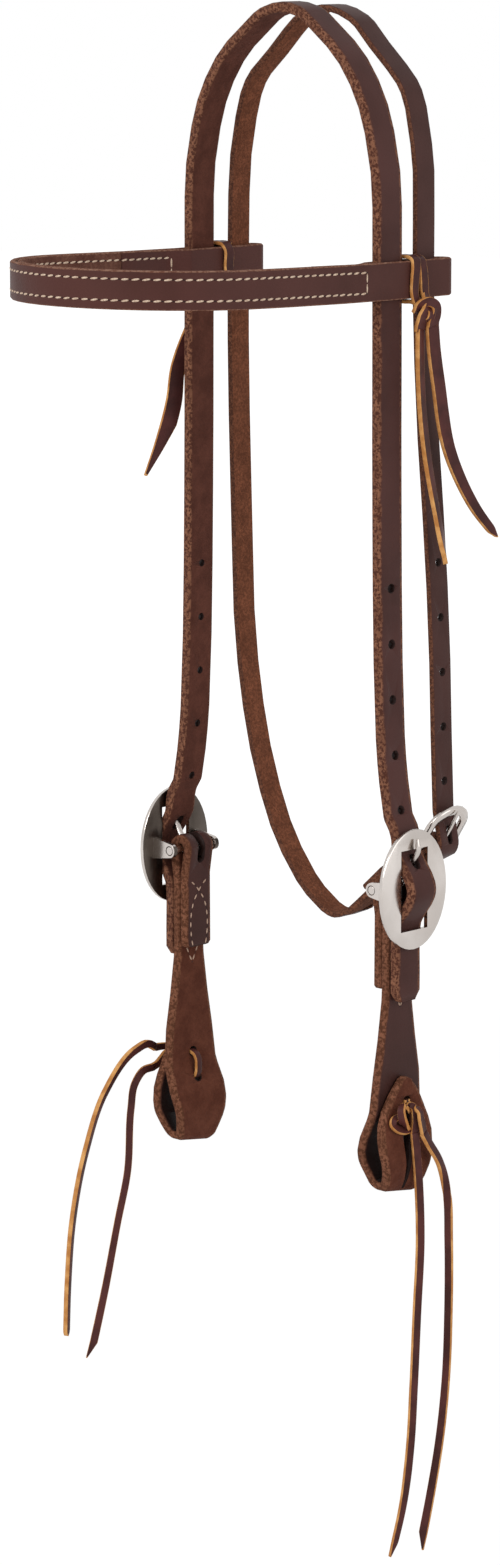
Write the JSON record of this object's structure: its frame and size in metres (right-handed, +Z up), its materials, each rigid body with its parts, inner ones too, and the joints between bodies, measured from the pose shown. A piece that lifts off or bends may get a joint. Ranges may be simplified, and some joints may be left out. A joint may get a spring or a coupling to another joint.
{
  "type": "western headstall",
  "caption": "Western browband headstall: crown strap, throatlatch, browband tied on with laces, cart buckles at the cheeks and bit ends closed by lace ties.",
  "frame": {"origin": "underside of the crown strap at the top of its arch, where it lies on the horse's poll", "axes": "+Z up, +X to the horse's near (left) side, +Y to the horse's tail; the browband points to -Y"},
  "size_m": [0.1693, 0.2108, 0.7109],
  "materials": {
    "bridle_leather": "dark oiled grain side, satin",
    "flesh_leather": "rough flesh side, matt",
    "latigo_lace": "burgundy latigo with raw tan edges",
    "stainless": "polished stainless steel"
  },
  "bodies": {
    "crown": {"crown_strap": "bridle_leather", "throatlatch_strap": "bridle_leather", "throatlatch_buckle_frame": "stainless", "near_cheek_buckle_plate": "stainless", "near_cheek_buckle_bar": "stainless", "far_cheek_buckle_plate": "stainless", "far_cheek_buckle_bar": "stainless"},
    "browband": {"browband_outer": "bridle_leather", "browband_lining": "flesh_leather", "near_browband_tie_knot": "latigo_lace", "far_browband_tie_knot": "latigo_lace", "near_browband_tail_long": "latigo_lace", "near_browband_tail_short": "latigo_lace", "far_browband_tail_long": "latigo_lace", "far_browband_tail_short": "latigo_lace"},
    "near_bit": {"near_bit_end": "bridle_leather", "near_bit_tie_knot": "latigo_lace", "near_bit_tail_front": "latigo_lace", "near_bit_tail_rear": "latigo_lace"},
    "far_bit": {"far_bit_end": "bridle_leather", "far_bit_tie_knot": "latigo_lace", "far_bit_tail_front": "latigo_lace", "far_bit_tail_rear": "latigo_lace"},
    "near_tongue": {"near_cheek_buckle_tongue": "stainless"},
    "far_tongue": {"far_cheek_buckle_tongue": "stainless"},
    "throat_tongue": {"throatlatch_buckle_tongue": "stainless"}
  },
  "joints": [
    {"name": "browband_slide", "type": "slide", "parent": "crown", "child": "browband", "axis": [0, 0, 1], "range_m": [-0.015, 0.004]},
    {"name": "near_bit_swing", "type": "hinge", "parent": "crown", "child": "near_bit", "pos_m": [0.0646, 0, -0.393], "axis": [0, 1, 0], "range_deg": [0, 12]},
    {"name": "far_bit_swing", "type": "hinge", "parent": "crown", "child": "far_bit", "pos_m": [-0.0646, 0, -0.393], "axis": [0, -1, 0], "range_deg": [0, 12]},
    {"name": "near_tongue_lift", "type": "hinge", "parent": "crown", "child": "near_tongue", "pos_m": [0.0646, 0, -0.393], "axis": [0, 1, 0], "range_deg": [0, 3]},
    {"name": "far_tongue_lift", "type": "hinge", "parent": "crown", "child": "far_tongue", "pos_m": [-0.0646, 0, -0.393], "axis": [0, -1, 0], "range_deg": [0, 3]},
    {"name": "throat_tongue_lift", "type": "hinge", "parent": "crown", "child": "throat_tongue", "pos_m": [0.059, 0.036, -0.3783], "axis": [0, 1, 0], "range_deg": [0, 3]}
  ]
}
